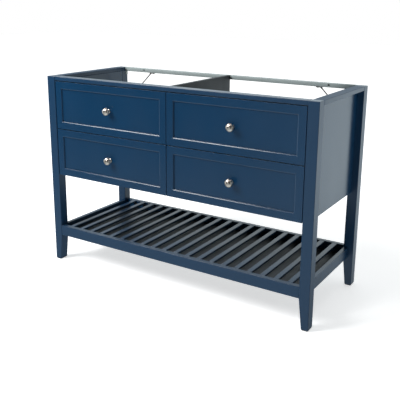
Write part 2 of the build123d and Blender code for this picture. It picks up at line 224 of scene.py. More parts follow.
class VanityMetalSettings(bpy.types.PropertyGroup):
    """Sizes of the metal pieces that their outer boxes don't give."""

    rail_sheet: length_setting("Rail Sheet", "Wall of the rear steel rail", 0.0015)
    rail_fold: length_setting("Rail Fold", "Radius of the folded edges of the rear rail", 0.0018)
    rail_height: length_setting("Rail Height", "Height of the rear rail's section", 0.018)
    far_hole: share_setting(
        "Far Hole", "Radius of a hole in the rail's far wall, as a share of the one in front", 0.55
    )
    end_plate: length_setting(
        "End Plate", "Thickness of the plates on the ends of the rear rail", 0.002
    )
    rod_radius: length_setting("Brace Rod", "Radius of the rod of a corner brace", 0.0025)
    tab_thickness: length_setting(
        "Brace Tab", "Thickness of the tabs of a corner brace", 0.003
    )
    tab_length: length_setting("Tab Length", "Length of the tabs of a corner brace", 0.026)
    tab_end: length_setting(
        "Tab End", "From the axis of the rod to the near end of its tab", 0.008
    )
    screw_to_rod: length_setting(
        "Screw to Rod", "From the axis of the rod to the screw in its tab", 0.011
    )
    plate_screw_up: length_setting(
        "Plate Screw", "Height of the screw above the lower end of the end plate", 0.008
    )
    head_radius: length_setting("Screw Head", "Radius of the pan heads in the steelwork", 0.004)
    head_height: length_setting("Head Height", "Height of the pan heads in the steelwork", 0.0022)
    slide_sheet: length_setting(
        "Slide Sheet", "Thickness of the folded steel of the drawer slides", 0.0012
    )
    slide_fold: length_setting("Slide Fold", "Radius of the folds of the drawer slides", 0.0016)
    knob_dome: length_setting("Knob Dome", "Height of a knob's dome above its rim", 0.011)
    knob_rim: length_setting("Knob Rim", "Height of the rim under a knob's dome", 0.002)
    knob_neck: length_setting("Knob Neck", "Radius of a knob's neck", 0.0055)
    knob_foot: length_setting("Knob Foot", "Radius of a knob's foot", 0.0085)


class VanityStageSettings(bpy.types.PropertyGroup):
    """The camera, the lights and the floor."""

    camera_place: bpy.props.FloatVectorProperty(
        name="Camera Place",
        description="Where the camera stands",
        subtype="XYZ",
        unit="LENGTH",
        size=3,
        default=(1.3415, -2.1178, 1.1241),
    )
    camera_turn: angle_setting(
        "Camera Turn", "How far the camera is turned to the left of straight back", 0.562
    )
    camera_tilt: angle_setting("Camera Tilt", "How far the camera looks down", 0.249)
    camera_roll: angle_setting("Camera Roll", "How far the camera leans", 0.007)
    lens: bpy.props.FloatProperty(
        name="Lens",
        description="Focal length in millimetres on a 36 mm sensor",
        min=1,
        default=57.08,
    )
    shift: bpy.props.FloatProperty(
        name="Vertical Shift",
        description="Vertical shift of the lens, as a share of the frame",
        default=-0.1,
    )
    floor_colour: colour_setting("Floor", "Colour of the plain floor", (0.86, 0.86, 0.86))
    floor_glow: level_setting(
        "Floor Glow", "Light that the floor gives of itself, as a lit sweep does", 0.60
    )
    backdrop: level_setting("Backdrop", "Brightness of the backdrop behind the cabinet", 1.25)
    overhead: power_setting("Overhead Light", "Power of the large softbox above", 30.0)
    key: power_setting("Front Light", "Power of the softbox in front, on the left", 140.0)


# ----------------------------------------------------------------------------------------------
# Shaping
# ----------------------------------------------------------------------------------------------


def moved_verts(result):
    """The new vertices among what an extrusion returns."""
    return [item for item in result["geom"] if isinstance(item, bmesh.types.BMVert)]


def merge(bm, other):
    """Moves the whole of another mesh into this one."""
    scratch = bpy.data.meshes.new("scratch")
    other.to_mesh(scratch)
    other.free()
    bm.from_mesh(scratch)
    bpy.data.meshes.remove(scratch)


def round_edges(bm, edges, radius, segments=3):
    """Rounds some edges of a mesh."""
    bmesh.ops.bevel(
        bm,
        geom=edges,
        offset=radius,
        segments=segments,
        profile=0.5,
        affect="EDGES",
        material=-1,
    )


def cut_across(bm, point, normal, faces=None):
    """Cuts faces in two along a plane. Both sides stay."""
    faces = faces or bm.faces[:]
    edges = dict.fromkeys(edge for face in faces for edge in face.edges)
    verts = dict.fromkeys(vert for face in faces for vert in face.verts)
    bmesh.ops.bisect_plane(
        bm,
        geom=[*verts, *edges, *faces],
        plane_co=point,
        plane_no=normal,
        dist=MERGE_DISTANCE,
    )


def faces_towards(bm, direction):
    """The faces that look in this direction."""
    bm.normal_update()
    return [face for face in bm.faces if face.normal.dot(Vector(direction)) > ALIGNED]


def add_block(bm, low, high):
    """Adds a closed rectangular block between two corners."""
    low, high = Vector(low), Vector(high)
    place = Matrix.Translation((low + high) / 2) @ Matrix.Diagonal((*(high - low), 1))
    bmesh.ops.create_cube(bm, size=1, matrix=place)


def add_prism(bm, outline, along):
    """Adds a closed bar: a flat outline of a few corners, extruded along a vector."""
    face = bm.faces.new([bm.verts.new(point) for point in outline])
    pushed = bmesh.ops.extrude_face_region(bm, geom=[face])
    bmesh.ops.translate(bm, verts=moved_verts(pushed), vec=along)


def add_folded_sheet(bm, outline, along, fold_radius, closed=False):
    """Adds a thin skin: a line of a few corners, extruded along a vector, with rounded folds."""
    corners = [bm.verts.new(point) for point in outline]
    pairs = list(zip(corners, corners[1:]))
    if closed:
        pairs.append((corners[-1], corners[0]))
    edges = [bm.edges.new(pair) for pair in pairs]
    new_verts = moved_verts(bmesh.ops.extrude_edge_only(bm, edges=edges))
    bmesh.ops.translate(bm, verts=new_verts, vec=along)
    sheet = {*corners, *new_verts}
    folds = [edge for edge in bm.edges if edge.verts[0] in sheet and len(edge.link_faces) == 2]
    round_edges(bm, folds, fold_radius)


def add_rod(bm, start, end, radius, segments=20):
    """Adds a closed round rod between two points."""
    start, end = Vector(start), Vector(end)
    turn = (end - start).to_track_quat("Z", "Y").to_matrix().to_4x4()
    bmesh.ops.create_cone(
        bm,
        cap_ends=True,
        segments=segments,
        radius1=radius,
        radius2=radius,
        depth=(end - start).length,
        matrix=Matrix.Translation((start + end) / 2) @ turn,
    )


def add_pan_head(bm, seat, direction, radius, height):
    """Adds a pan head with a cross recess. It stands on its seat and looks in the direction."""
    dome, ring = 0.6 * height, 0.12 * radius
    arm, arm_reach = 0.13 * radius, 0.5 * radius
    recess_depth, recess_draft = 0.45 * height, 0.02 * radius
    up = (0, 0, 1)
    head = bmesh.new()
    add_rod(head, (0, 0, 0), (0, 0, height), radius, segments=24)
    round_edges(head, list(faces_towards(head, up)[0].edges), dome)
    top = max(faces_towards(head, up), key=lambda face: face.calc_area())
    bmesh.ops.inset_region(head, faces=[top], thickness=ring, depth=0)
    for normal in ((1, 0, 0), (-1, 0, 0), (0, 1, 0), (0, -1, 0)):
        middle = [
            face
            for face in faces_towards(head, up)
            if face.calc_center_median().xy.length < arm_reach
        ]
        cut_across(head, Vector(normal) * arm, normal, middle)
    cross = []
    for face in faces_towards(head, up):
        centre = face.calc_center_median().xy
        if centre.length < arm_reach and min(abs(centre.x), abs(centre.y)) < arm:
            cross.append(face)
    bmesh.ops.inset_region(head, faces=cross, thickness=recess_draft, depth=-recess_depth)
    turn = Vector(direction).to_track_quat("Z", "Y").to_matrix().to_4x4()
    bmesh.ops.transform(head, matrix=Matrix.Translation(seat) @ turn, verts=head.verts)
    merge(bm, head)


def on_narrow_side(face, thickness):
    """Whether a face is one of the narrow ones round a board."""
    return abs(face.normal[thickness]) < ON_EDGE


def lay_grain(bm, along, thickness, rng):
    """Gives faces a UV map whose first value runs with the grain and whose second crosses it."""
    layer = bm.loops.layers.uv.verify()
    width = X + Y + Z - along - thickness
    start = (rng.uniform(0, GRAIN_SPREAD), rng.uniform(0, GRAIN_SPREAD))
    bm.normal_update()
    for face in bm.faces:
        across = thickness if on_narrow_side(face, thickness) else width
        for loop in face.loops:
            point = loop.vert.co
            loop[layer].uv = (point[along] + start[0], point[across] + start[1])


def mark_edges(bm, thickness):
    """Gives the narrow faces round a board its second finish."""
    bm.normal_update()
    for face in bm.faces:
        face.material_index = int(on_narrow_side(face, thickness))


def crease_folds(bm):
    """Keeps the shading of flat walls apart from the curves and slopes that they meet."""
    bm.normal_update()
    for edge in bm.edges:
        if len(edge.link_faces) == 2 and FOLD_TURN < edge.calc_face_angle(0) < SHARP_TURN:
            squareness = max(abs(value) for face in edge.link_faces for value in face.normal)
            edge.smooth = squareness < FLAT_WALL


def add_piece(bm, node, finishes, rounding=0, segments=3, sheet=0, suffix="finished"):
    """Makes the piece that stands for a node, gives it its finishes and fastens it to its body."""
    bmesh.ops.remove_doubles(bm, verts=bm.verts, dist=MERGE_DISTANCE)
    bmesh.ops.recalc_face_normals(bm, faces=bm.faces)
    crease_folds(bm)
    name = f"{node}_{suffix}"
    mesh = bpy.data.meshes.new(name)
    bm.to_mesh(mesh)
    bm.free()
    mesh.shade_smooth()
    if mesh.uv_layers:
        mesh.uv_layers[0].name = GRAIN_UV
    for finish in finishes:
        mesh.materials.append(bpy.data.materials.get(finish) or FINISHES[finish](finish))
    piece = bpy.data.objects.new(name, mesh)
    bpy.context.scene.collection.objects.link(piece)
    if sheet:
        wall = piece.modifiers.new("Wall", "SOLIDIFY")
        wall.thickness = sheet
        wall.offset = 0
    if rounding:
        edges = piece.modifiers.new("Rounding", "BEVEL")
        edges.width = rounding
        edges.segments = segments
        edges.limit_method = "ANGLE"
        edges.angle_limit = SHARP_TURN
        edges.harden_normals = True
    else:
        mesh.set_sharp_from_angle(angle=SMOOTH_TURN)
    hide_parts(node)
    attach(piece, body_of(frame["nodes"][node])[0])


# ----------------------------------------------------------------------------------------------
# Finishes
# ----------------------------------------------------------------------------------------------

VECTOR, COLOUR, VALUE = "NodeSocketVector", "NodeSocketColor", "NodeSocketFloat"


class Wiring:
    """A node tree that is being wired."""

    def __init__(self, tree):
        self.tree = tree

    def add(self, kind, inputs=None, **settings):
        """Adds a node. An input is a number, a colour or another node's output."""
        node = self.tree.nodes.new(kind)
        for name, value in settings.items():
            setattr(node, name, value)
        for name, value in (inputs or {}).items():
            if isinstance(value, bpy.types.NodeSocket):
                self.tree.links.new(value, node.inputs[name])
            else:
                node.inputs[name].default_value = value
        return node

    def maths(self, operation, *values):
        """The result of a calculation with one, two or three values."""
        node = self.add("ShaderNodeMath", dict(enumerate(values)), operation=operation)
        return node.outputs[0]

    def remap(self, value, start, end, low, high, kind="SMOOTHSTEP"):
        """A value spread from one range to another and held at its ends."""
        ranges = {
            "Value": value,
            "From Min": start,
            "From Max": end,
            "To Min": low,
            "To Max": high,
        }
        return self.add("ShaderNodeMapRange", ranges, interpolation_type=kind).outputs["Result"]

    def noise(self, vector, scale=1.0, detail=3.0, roughness=0.5):
        """Soft random values over a surface."""
        inputs = {"Vector": vector, "Scale": scale, "Detail": detail, "Roughness": roughness}
        return self.add("ShaderNodeTexNoise", inputs).outputs["Fac"]

    def stretch(self, vector, scale):
        """A vector whose axes are scaled by different amounts."""
        inputs = {"Vector": vector, "Scale": scale}
        return self.add("ShaderNodeMapping", inputs).outputs["Vector"]

    def mix(self, factor, first, second):
        """Two colours mixed by a factor."""
        factor_socket, first_socket, second_socket, result = 0, 6, 7, 2
        sockets = {factor_socket: factor, first_socket: first, second_socket: second}
        return self.add("ShaderNodeMix", sockets, data_type="RGBA").outputs[result]


def effect_group(name, inputs, outputs, build):
    """A shared effect as a shader node group, built the first time that it is asked for."""
    group = bpy.data.node_groups.get(name)
    if group:
        return group
    group = bpy.data.node_groups.new(name, "ShaderNodeTree")
    for direction, sockets in (("INPUT", inputs), ("OUTPUT", outputs)):
        for label, kind in sockets.items():
            group.interface.new_socket(name=label, in_out=direction, socket_type=kind)
    wiring = Wiring(group)
    source = wiring.add("NodeGroupInput").outputs
    wiring.add("NodeGroupOutput", build(wiring, source))
    return group


def cloudy_tone():
    """A colour that drifts slowly over a surface, with a fine speckle on top."""

    def build(wiring, source):
        fineness, speckle_share = 60.0, 0.35
        drift = wiring.noise(source["Vector"], source["Scale"], detail=2.0)
        speckle_scale = wiring.maths("MULTIPLY", source["Scale"], fineness)
        speckle = wiring.noise(source["Vector"], speckle_scale, detail=2.0)
        both = wiring.maths("MULTIPLY_ADD", speckle, speckle_share, drift)
        shift = wiring.maths("SUBTRACT", both, (1 + speckle_share) / 2)
        gain = wiring.maths("MULTIPLY_ADD", shift, source["Amount"], 1.0)
        tinted = wiring.add(
            "ShaderNodeVectorMath", {0: source["Colour"], "Scale": gain}, operation="SCALE"
        )
        return {"Colour": tinted.outputs["Vector"]}

    inputs = {"Vector": VECTOR, "Colour": COLOUR, "Scale": VALUE, "Amount": VALUE}
    return effect_group("cloudy_tone", inputs, {"Colour": COLOUR}, build)


def orange_peel():
    """The fine ripple of a sprayed coat."""

    def build(wiring, source):
        return {"Height": wiring.noise(source["Vector"], source["Scale"], detail=1.5)}

    inputs = {"Vector": VECTOR, "Scale": VALUE}
    return effect_group("orange_peel", inputs, {"Height": VALUE}, build)


def long_grain():
    """Wood fibres that run with the first value of the grain map, as height and as masks."""

    def build(wiring, source):
        fibre_stretch, figure_stretch, ring_count = (6.0, 220.0, 1.0), (1.1, 14.0, 1.0), 42.0
        fibres = wiring.stretch(source["Grain"], fibre_stretch)
        lines = wiring.noise(fibres, detail=4.0, roughness=0.6)
        figure = wiring.noise(wiring.stretch(source["Grain"], figure_stretch), roughness=0.55)
        rings = wiring.maths("SINE", wiring.maths("MULTIPLY", figure, ring_count))
        return {
            "Rings": wiring.remap(rings, -1.0, 1.0, 0.0, 1.0),
            "Pores": wiring.remap(lines, 0.54, 0.70, 0.0, 1.0),
            "Height": lines,
        }

    outputs = {"Rings": VALUE, "Pores": VALUE, "Height": VALUE}
    return effect_group("long_grain", {"Grain": VECTOR}, outputs, build)


def handled_gloss():
    """Roughness that varies with wiping and handling, between two limits."""

    def build(wiring, source):
        smear_stretch = (9.0, 9.0, 4.0)
        stretched = wiring.stretch(source["Vector"], smear_stretch)
        smears = wiring.noise(stretched, detail=5.0, roughness=0.6)
        limits = (source["Smooth"], source["Rough"])
        return {"Roughness": wiring.remap(smears, 0.3, 0.7, *limits, kind="LINEAR")}

    inputs = {"Vector": VECTOR, "Smooth": VALUE, "Rough": VALUE}
    return effect_group("handled_gloss", inputs, {"Roughness": VALUE}, build)


class Surface(Wiring):
    """A material that is being made: a Principled shader and what feeds it."""

    def __init__(self, name):
        self.material = bpy.data.materials.new(name)
        self.material.use_nodes = True
        super().__init__(self.material.node_tree)
        self.settings = bpy.context.scene.vanity_finish
        self.place = self.add("ShaderNodeTexCoord").outputs["Object"]
        self.sockets = self.tree.nodes["Principled BSDF"].inputs

    def grain_map(self):
        """The map that follows the grain of a board."""
        return self.add("ShaderNodeUVMap", uv_map=GRAIN_UV).outputs["UV"]

    def use(self, group, **inputs):
        """Places a shared effect and returns its outputs."""
        return self.add("ShaderNodeGroup", inputs, node_tree=group).outputs

    def feed(self, socket, value):
        """Links something to a socket of the shader."""
        self.tree.links.new(value, self.sockets[socket])

    def tint(self, colour, scale, amount):
        """Colours the surface, a little unevenly."""
        tone = self.use(
            cloudy_tone(), Vector=self.place, Colour=colour, Scale=scale, Amount=amount
        )
        self.feed("Base Color", tone["Colour"])

    def polish(self, smooth, rough, scratches=None):
        """Gives the surface an uneven gloss, with scratches if there are any."""
        scratch_share = 0.10
        gloss = self.use(handled_gloss(), Vector=self.place, Smooth=smooth, Rough=rough)
        roughness = gloss["Roughness"]
        if scratches is not None:
            roughness = self.maths("MULTIPLY_ADD", scratches, scratch_share, roughness)
        self.feed("Roughness", roughness)

    def raise_by(self, height, distance):
        """Gives the surface a fine relief."""
        inputs = {"Height": height, "Distance": distance, "Strength": 1.0}
        self.feed("Normal", self.add("ShaderNodeBump", inputs).outputs["Normal"])


def opaque(colour):
    """A colour as a socket takes it."""
    return (*colour, 1)


def shaded(colour, shades):
    """A colour whose three channels are each darkened."""
    return opaque(channel * shade for channel, shade in zip(colour, shades))


def lacquer(name, over_wood=False, dull=0.0):
    """Sprayed navy satin lacquer, smooth over board and with a trace of grain over wood."""
    grain_share = 1.6
    surface = Surface(name)
    roughness = surface.settings.lacquer_roughness + dull
    surface.tint(opaque(surface.settings.lacquer_colour), scale=3.0, amount=0.22)
    surface.polish(smooth=roughness - 0.03, rough=roughness + 0.04)
    height = surface.use(orange_peel(), Vector=surface.place, Scale=240.0)["Height"]
    if over_wood:
        fibres = surface.use(long_grain(), Grain=surface.grain_map())["Height"]
        height = surface.maths("MULTIPLY_ADD", fibres, grain_share, height)
    surface.raise_by(height, distance=0.00002)
    return surface.material


def board_lacquer(name):
    """Lacquer over smooth board."""
    return lacquer(name)


def wood_lacquer(name):
    """Lacquer over solid wood."""
    return lacquer(name, over_wood=True, dull=0.12)


def edge_lacquer(name):
    """Lacquer on the sawn edges of a board, which soak it up and stay duller."""
    return lacquer(name, dull=0.36)


def dark_board(name):
    """Slate-grey melamine board with a fine embossed texture."""
    emboss_stretch = (900.0, 300.0, 900.0)
    surface = Surface(name)
    surface.tint(opaque(surface.settings.dark_board_colour), scale=8.0, amount=0.5)
    surface.polish(smooth=0.46, rough=0.58)
    emboss = surface.noise(surface.stretch(surface.place, emboss_stretch))
    surface.raise_by(emboss, distance=0.00006)
    return surface.material


def dark_veneer(name):
    """Dark plywood, its darkness partly painted shade that keeps the gaps between the drawer
    fronts dark: a low figure with fine pores along the grain, under a satin coat.
    """
    ring_share, pore_share = 0.45, 0.35
    surface = Surface(name)
    pale = surface.settings.ply_colour
    deep, pore = shaded(pale, (0.80, 0.72, 0.62)), shaded(pale, (0.58, 0.47, 0.36))
    wood = surface.use(long_grain(), Grain=surface.grain_map())
    rings = surface.maths("MULTIPLY", wood["Rings"], ring_share)
    pores = surface.maths("MULTIPLY", wood["Pores"], pore_share)
    figured = surface.mix(rings, opaque(pale), deep)
    surface.tint(surface.mix(pores, figured, pore), scale=5.0, amount=0.25)
    surface.polish(smooth=0.38, rough=0.50)
    surface.raise_by(wood["Height"], distance=0.00006)
    return surface.material


def dark_ply_layers(name):
    """The dark edge of the plywood, its darkness partly painted shade like the faces: thin layers,
    light and dark by turns, with glue lines.
    """
    pair_of_plies, waviness = 0.003, 0.0006
    surface = Surface(name)
    pale = surface.settings.ply_colour
    deep, glue = shaded(pale, (0.62, 0.52, 0.42)), shaded(pale, (0.30, 0.22, 0.16))
    across = surface.add("ShaderNodeSeparateXYZ", {"Vector": surface.grain_map()}).outputs["Y"]
    drift = surface.noise(surface.place, scale=30.0, detail=2.0)
    wander = surface.maths("MULTIPLY", drift, waviness)
    layers = surface.maths("DIVIDE", surface.maths("ADD", across, wander), pair_of_plies)
    offset = surface.maths("SUBTRACT", surface.maths("FRACT", layers), 0.5)
    turn = surface.maths("ABSOLUTE", offset)
    near_glue = surface.maths("ABSOLUTE", surface.maths("SUBTRACT", turn, 0.25))
    cross_ply = surface.remap(turn, 0.22, 0.28, 0.0, 1.0)
    glue_line = surface.remap(near_glue, 0.0, 0.03, 0.7, 0.0)
    plies = surface.mix(cross_ply, opaque(pale), deep)
    surface.tint(surface.mix(glue_line, plies, glue), scale=60.0, amount=0.5)
    surface.polish(smooth=0.52, rough=0.66)
    surface.raise_by(turn, distance=0.00010)
    return surface.material


def metal(name, colour, gloss, lines, depth, metallic=0.0):
    """A metal or coated metal with fine lines left by its rolling, drawing or turning."""
    surface = Surface(name)
    surface.tint(opaque(colour), scale=14.0, amount=0.30)
    marks = surface.noise(surface.stretch(surface.place, lines), roughness=0.6)
    surface.polish(*gloss, scratches=marks)
    surface.sockets["Metallic"].default_value = metallic
    surface.raise_by(marks, depth)
    return surface.material


def satin_nickel(name):
    """Warm satin nickel, turned on a lathe."""
    colour = bpy.context.scene.vanity_finish.nickel_colour
    lines = (900.0, 2400.0, 900.0)
    return metal(name, colour, gloss=(0.20, 0.28), lines=lines, depth=0.000012, metallic=1.0)


def grey_powder_coat(name):
    """Light grey powder coat on steel, with a fine stipple."""
    colour = bpy.context.scene.vanity_finish.rail_colour
    return metal(name, colour, gloss=(0.38, 0.46), lines=(1300.0, 1300.0, 1300.0), depth=0.00005)


def brace_steel(name):
    """Bare drawn steel with a dull oxide tone."""
    colour = bpy.context.scene.vanity_finish.brace_colour
    lines = (300.0, 900.0, 300.0)
    return metal(name, colour, gloss=(0.34, 0.50), lines=lines, depth=0.00003, metallic=0.35)


def slide_steel(name):
    """Black electro-coat on cold-rolled steel, drawn along the slide."""
    colour = (0.020, 0.021, 0.023)
    return metal(name, colour, gloss=(0.30, 0.42), lines=(1500.0, 30.0, 1500.0), depth=0.00003)


def zinc_screw(name):
    """Bright zinc on a small screw."""
    colour, lines = (0.60, 0.60, 0.58), (1200.0, 1200.0, 1200.0)
    return metal(name, colour, gloss=(0.22, 0.34), lines=lines, depth=0.00002, metallic=1.0)


def black_glide(name):
    """Black moulded nylon."""
    colour = (0.012, 0.012, 0.013)
    return metal(name, colour, gloss=(0.45, 0.60), lines=(1600.0, 1600.0, 1600.0), depth=0.00005)


FINISHES = {
    "navy_lacquer_on_board": board_lacquer,
    "navy_lacquer_on_wood": wood_lacquer,
    "navy_lacquer_on_edges": edge_lacquer,
    "slate_melamine": dark_board,
    "dark_veneer": dark_veneer,
    "dark_ply_edge": dark_ply_layers,
    "satin_nickel_turned": satin_nickel,
    "grey_powder_coat": grey_powder_coat,
    "dull_brace_steel": brace_steel,
    "black_slide_steel": slide_steel,
    "bright_zinc_screw": zinc_screw,
    "black_nylon": black_glide,
}

# ----------------------------------------------------------------------------------------------
# Operators
# ----------------------------------------------------------------------------------------------


def add_board(node, finishes, along, thickness, rng, rounding):
    """Makes a rounded board in the box of its node."""
    bm = bmesh.new()
    add_block(bm, *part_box(node))
    lay_grain(bm, along, thickness, rng)
    add_piece(bm, node, finishes, rounding)


class VANITY_OT_add_legs(bpy.types.Operator):
    """Builds the four legs, whose inner faces taper below the lower rails, and their glides"""

    bl_idname = "vanity.add_legs"
    bl_label = "Add Legs"

    def execute(self, context):
        joinery = context.scene.vanity_joinery
        rng = random.Random(GRAIN_SEED)
        glide_width = self.glide_width()
        foot_width = glide_width + 2 * joinery.glide_inset
        for end in ("front", "rear"):
            for side, sign in SIDES:
                self.add_leg(f"{end}_{side}_leg", sign, foot_width, joinery, rng)
        self.add_glides(glide_width, joinery)
        return {"FINISHED"}

    def glide_width(self):
        """Width of a glide, from how far the glides on one side reach in."""
        places = [vert.co.x for vert in frame["nodes"]["foot_glides"].data.vertices]
        return max(places) - min(x for x in places if x > 0)

    def add_leg(self, node, sign, foot_width, joinery, rng):
        """One leg: a square block that is cut across at the taper's top, then narrowed below."""
        low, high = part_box(node)
        inner, outer = (low.x, high.x) if sign > 0 else (high.x, low.x)
        taper_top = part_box("lower_front_rail")[0].z
        bm = bmesh.new()
        add_block(bm, low, high)
        cut_across(bm, (0, 0, taper_top), (0, 0, 1))
        toes = [
            vert
            for vert in bm.verts
            if vert.co.z < taper_top - NEAR and abs(vert.co.x - inner) < NEAR
        ]
        bmesh.ops.translate(bm, verts=toes, vec=(outer - sign * foot_width - inner, 0, 0))
        lay_grain(bm, Z, Y, rng)
        add_piece(bm, node, ["navy_lacquer_on_wood"], joinery.rounding)

    def add_glides(self, width, joinery):
        """A glide under each foot, its edges rounded."""
        low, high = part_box("foot_glides")
        leg_low, leg_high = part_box("front_left_leg")
        depth = leg_high.y - leg_low.y - 2 * joinery.glide_inset
        bm = bmesh.new()
        for x in (low.x, high.x - width):
            for y in (low.y, high.y - depth):
                add_block(bm, (x, y, low.z), (x + width, y + depth, high.z))
        add_piece(bm, "foot_glides", ["black_nylon"], joinery.rounding)


class VANITY_OT_add_case(bpy.types.Operator):
    """Builds the top rails, the side panels, the divider and the stretchers"""

    bl_idname = "vanity.add_case"
    bl_label = "Add Case"

    def execute(self, context):
        joinery = context.scene.vanity_joinery
        rng = random.Random(GRAIN_SEED + 1)
        on_board, dark = ["navy_lacquer_on_board"], ["slate_melamine"]
        self.add_top_rail("top_front_rail", X, (0, 0, -1), joinery, rng)
        for side, _ in SIDES:
            self.add_top_rail(f"top_{side}_rail", Y, (0, 0, 1), joinery, rng)
            add_board(f"{side}_side_panel", on_board, Z, X, rng, joinery.rounding)
        add_board("bottom_front_stretcher", dark, X, Z, rng, joinery.fine_rounding)
        add_board("bottom_back_stretcher", dark, X, Y, rng, joinery.fine_rounding)
        self.add_divider(joinery, rng)
        return {"FINISHED"}

    def add_top_rail(self, node, along, dull_side, joinery, rng):
        """A rail with one face that was never polished: it is hidden in use."""
        bm = bmesh.new()
        add_block(bm, *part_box(node))
        lay_grain(bm, along, Z, rng)
        for face in faces_towards(bm, dull_side):
            face.material_index = 1
        finishes = ["navy_lacquer_on_wood", "navy_lacquer_on_edges"]
        add_piece(bm, node, finishes, joinery.rounding)

    def add_divider(self, joinery, rng):
        """The divider, notched at its upper front corner for the top rail."""
        low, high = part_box("centre_divider")
        rail_low, rail_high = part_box("top_front_rail")
        corners = (
            (low.y, low.z),
            (high.y, low.z),
            (high.y, high.z),
            (rail_high.y, high.z),
            (rail_high.y, rail_low.z),
            (low.y, rail_low.z),
        )
        bm = bmesh.new()
        add_prism(bm, [(low.x, y, z) for y, z in corners], (high.x - low.x, 0, 0))
        lay_grain(bm, Z, X, rng)
        add_piece(bm, "centre_divider", ["slate_melamine"], joinery.fine_rounding)


class VANITY_OT_add_shelf(bpy.types.Operator):
    """Builds the lower rails, the slats between them and the thin dark board under the slats,
    which is painted shade standing in for the shade seen between the slats
    """

    bl_idname = "vanity.add_shelf"
    bl_label = "Add Shelf"

    def execute(self, context):
        joinery = context.scene.vanity_joinery
        rng = random.Random(GRAIN_SEED + 2)
        on_wood = ["navy_lacquer_on_wood"]
        for side, _ in SIDES:
            add_board(f"lower_{side}_rail", on_wood, Y, X, rng, joinery.rounding)
        for end in ("front", "back"):
            add_board(f"lower_{end}_rail", on_wood, X, Y, rng, joinery.rounding)
        # Painted shade: this dark board under the slats stands in for the shade seen between them.
        add_board("shelf_board", ["slate_melamine"], X, Z, rng, joinery.fine_rounding)
        self.add_slats(joinery, rng)
        return {"FINISHED"}

    def add_slats(self, joinery, rng):
        """The slats, evenly spaced, each with its own run of grain."""
        low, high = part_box("shelf_slats")
        pitch = (high.x - low.x - joinery.slat_width) / (joinery.slat_count - 1)
        shelf = bmesh.new()
        for index in range(joinery.slat_count):
            start = low.x + index * pitch
            slat = bmesh.new()
            add_block(slat, (start, low.y, low.z), (start + joinery.slat_width, high.y, high.z))
            lay_grain(slat, Y, Z, rng)
            merge(shelf, slat)
        finishes = ["navy_lacquer_on_wood"]
        add_piece(shelf, "shelf_slats", finishes, joinery.slat_rounding, segments=4)


class VANITY_OT_add_drawer_fronts(bpy.types.Operator):
    """Builds the drawer fronts, each with a flat border, a slope, a step and a sunk field"""

    bl_idname = "vanity.add_drawer_fronts"
    bl_label = "Add Drawer Fronts"

    def execute(self, context):
        joinery = context.scene.vanity_joinery
        rng = random.Random(GRAIN_SEED + 3)
        for drawer in DRAWERS:
            self.add_front(drawer, joinery, rng)
        return {"FINISHED"}

    def add_front(self, drawer, joinery, rng):
        """One front. Its field is as deep as the face that the knob stands on."""
        node = f"{drawer}_front"
        low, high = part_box(node)
        field_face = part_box(f"{drawer}_knob")[1].y
        slope_fall = joinery.slope * math.tan(joinery.slope_angle)
        step_fall = field_face - low.y - slope_fall
        cuts = ((joinery.border, 0), (joinery.slope, slope_fall), (joinery.step, step_fall))
        bm = bmesh.new()
        add_block(bm, low, high)
        field = faces_towards(bm, (0, -1, 0))
        for width, fall in cuts:
            bmesh.ops.inset_region(
                bm, faces=field, thickness=width, depth=-fall, use_even_offset=True
            )
        lay_grain(bm, X, Y, rng)
        mark_edges(bm, Y)
        finishes = ["navy_lacquer_on_board", "navy_lacquer_on_edges"]
        add_piece(bm, node, finishes, joinery.front_rounding)


class VANITY_OT_add_drawer_boxes(bpy.types.Operator):
    """Builds the plywood boxes behind the drawer fronts, with grooves for their bottoms"""

    bl_idname = "vanity.add_drawer_boxes"
    bl_label = "Add Drawer Boxes"

    def execute(self, context):
        joinery = context.scene.vanity_joinery
        rng = random.Random(GRAIN_SEED + 4)
        for drawer in DRAWERS:
            for side, sign in SIDES:
                self.add_side(drawer, side, sign, joinery, rng)
            for part, thickness in (("back", Y), ("bottom", Z)):
                node = f"{drawer}_{part}"
                bm = bmesh.new()
                add_block(bm, *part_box(node))
                self.add_plywood(bm, node, X, thickness, joinery, rng)
        return {"FINISHED"}

    def add_plywood(self, bm, node, along, thickness, joinery, rng):
        """Finishes a plywood board, with its layers on the narrow faces."""
        lay_grain(bm, along, thickness, rng)
        mark_edges(bm, thickness)
        add_piece(bm, node, PLYWOOD, joinery.fine_rounding)

    def add_side(self, drawer, side, sign, joinery, rng):
        """A side with a groove along its inner face. The left side's inner face looks to +X."""
        node = f"{drawer}_{side}_side"
        low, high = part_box(node)
        bottom_low, bottom_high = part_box(f"{drawer}_bottom")
        outer, inner = (low.x, high.x) if sign < 0 else (high.x, low.x)
        groove = inner + sign * joinery.groove
        corners = (
            (outer, low.z),
            (inner, low.z),
            (inner, bottom_low.z),
            (groove, bottom_low.z),
            (groove, bottom_high.z),
            (inner, bottom_high.z),
            (inner, high.z),
            (outer, high.z),
        )
        bm = bmesh.new()
        add_prism(bm, [(x, low.y, z) for x, z in corners], (0, high.y - low.y, 0))
        self.add_plywood(bm, node, Y, X, joinery, rng)


